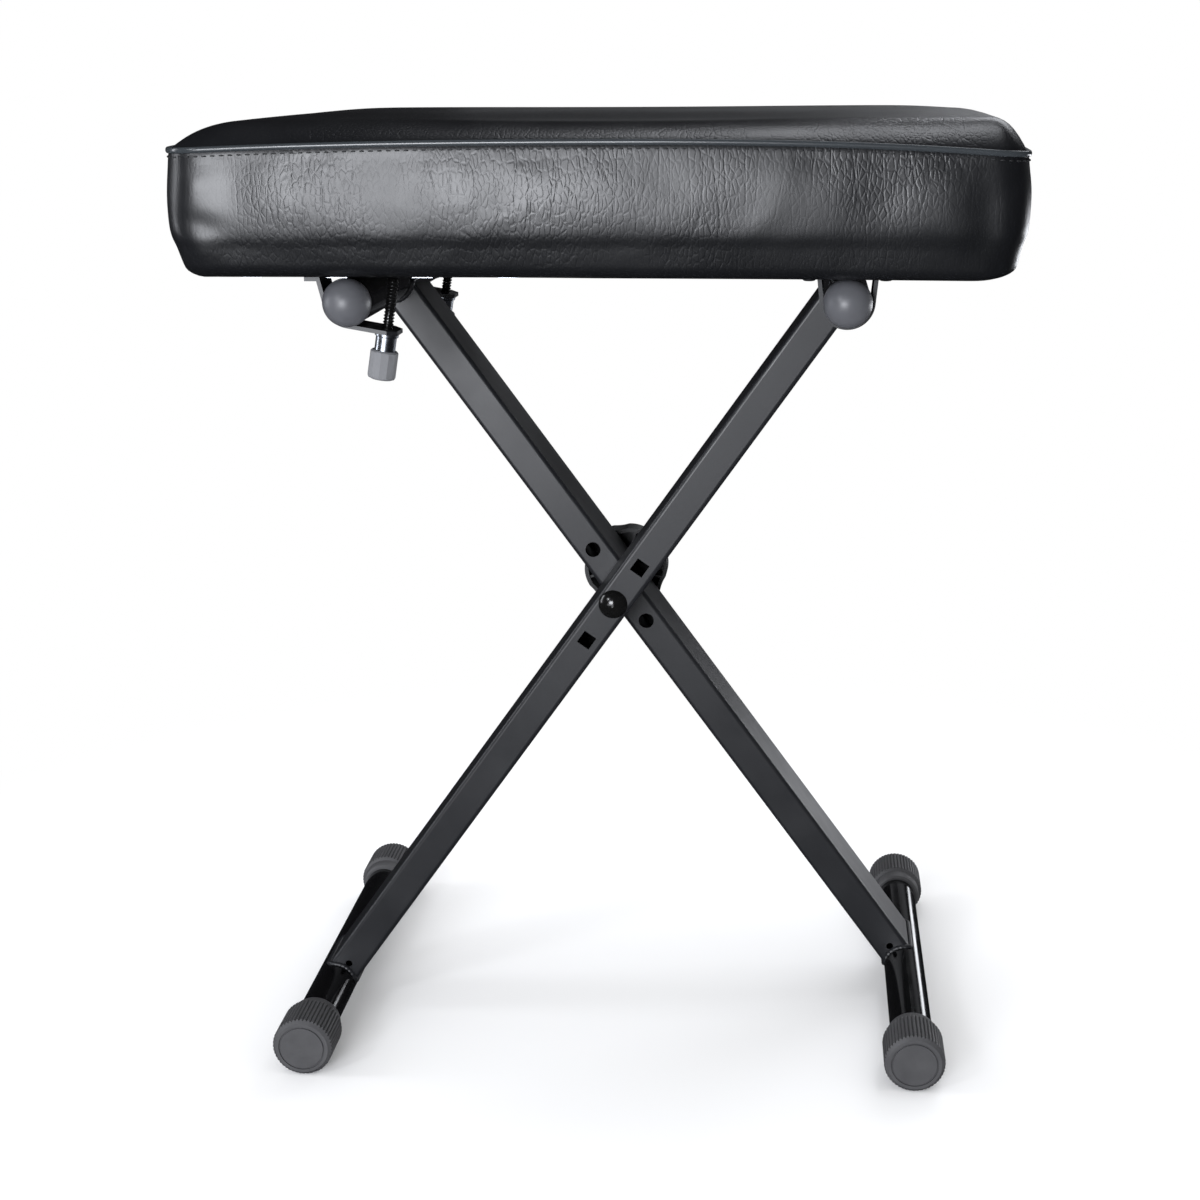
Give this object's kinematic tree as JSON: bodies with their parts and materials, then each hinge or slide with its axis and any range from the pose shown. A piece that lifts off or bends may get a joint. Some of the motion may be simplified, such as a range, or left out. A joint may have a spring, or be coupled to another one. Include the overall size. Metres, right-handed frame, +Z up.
{
  "type": "folding keyboard bench",
  "caption": "Folding bench with a padded rectangular seat on crossed legs that pivot on one bolt and stand on round tubes with ribbed end caps.",
  "frame": {"origin": "on the floor, in the middle of the bench's outline", "axes": "+Z up; the bolt head side faces -Y; +X to the right when facing that side"},
  "size_m": [0.45, 0.277, 0.5512],
  "materials": {
    "seat_vinyl": "black grained vinyl",
    "seat_foam": "open cell upholstery foam",
    "seat_board": "plywood",
    "powder_coat": "satin black powder coat",
    "gloss_paint": "gloss black",
    "cap_rubber": "matte moulded rubber",
    "plug_plastic": "satin moulded plastic",
    "knob_plastic": "satin moulded plastic",
    "black_bolt": "gloss black plating",
    "zinc_steel": "zinc plated",
    "brass_insert": "plain",
    "grip_rubber": "moulded grip"
  },
  "bodies": {
    "seat": {"seat_cover": "seat_vinyl", "seat_foam": "seat_foam", "seat_board": "seat_board", "clamp_tee_nuts": "zinc_steel", "hem_staples": "zinc_steel", "saddle_screws": "zinc_steel", "front_saddle": "powder_coat", "rear_saddle": "powder_coat"},
    "front_leg": {"front_bar": "powder_coat", "left_foot_tube": "gloss_paint", "left_front_cap": "cap_rubber", "left_rear_cap": "cap_rubber", "right_top_tube": "gloss_paint", "right_front_plug": "plug_plastic", "right_rear_plug": "plug_plastic", "pivot_bolt": "black_bolt", "pivot_spacer": "plug_plastic"},
    "rear_leg": {"rear_bar": "powder_coat", "right_foot_tube": "gloss_paint", "right_front_cap": "cap_rubber", "right_rear_cap": "cap_rubber", "left_top_tube": "gloss_paint", "left_front_plug": "plug_plastic", "left_rear_plug": "plug_plastic", "pivot_washer": "zinc_steel"},
    "lock_knob": {"knob_body": "knob_plastic", "knob_nut": "brass_insert"},
    "tube_clamps": {"front_clamp_strap": "powder_coat", "rear_clamp_strap": "powder_coat"},
    "front_thumb_screw": {"front_thumb_shank": "zinc_steel", "front_thumb_ferrule": "zinc_steel", "front_thumb_grip": "grip_rubber"},
    "rear_thumb_screw": {"rear_thumb_shank": "zinc_steel", "rear_thumb_ferrule": "zinc_steel", "rear_thumb_grip": "grip_rubber"}
  },
  "joints": [
    {"name": "leg_swing", "type": "hinge", "parent": "seat", "child": "front_leg", "pos_m": [0.13328, 0, 0.45295], "axis": [0, -1, 0], "range_deg": [0, 28]},
    {"name": "leg_cross", "type": "hinge", "parent": "front_leg", "child": "rear_leg", "pos_m": [0, 0, 0.26747], "axis": [0, -1, 0], "range_deg": [-56, 0]},
    {"name": "clamp_slip", "type": "hinge", "parent": "rear_leg", "child": "tube_clamps", "pos_m": [-0.13328, 0, 0.45295], "axis": [0, -1, 0], "range_deg": [0, 28]},
    {"name": "knob_turn", "type": "hinge", "parent": "front_leg", "child": "lock_knob", "pos_m": [0, 0.04, 0.26747], "axis": [0, 1, 0], "continuous": true},
    {"name": "front_screw_turn", "type": "hinge", "parent": "tube_clamps", "child": "front_thumb_screw", "pos_m": [-0.11598, -0.103, 0.43598], "axis": [0.1736, 0, 0.9848], "continuous": true},
    {"name": "rear_screw_turn", "type": "hinge", "parent": "tube_clamps", "child": "rear_thumb_screw", "pos_m": [-0.11598, 0.074, 0.43598], "axis": [0.1736, 0, 0.9848], "continuous": true}
  ],
  "couplings": [
    {"joint": "leg_cross", "follows": "leg_swing", "ratio": -2},
    {"joint": "clamp_slip", "follows": "leg_swing", "ratio": 1}
  ]
}
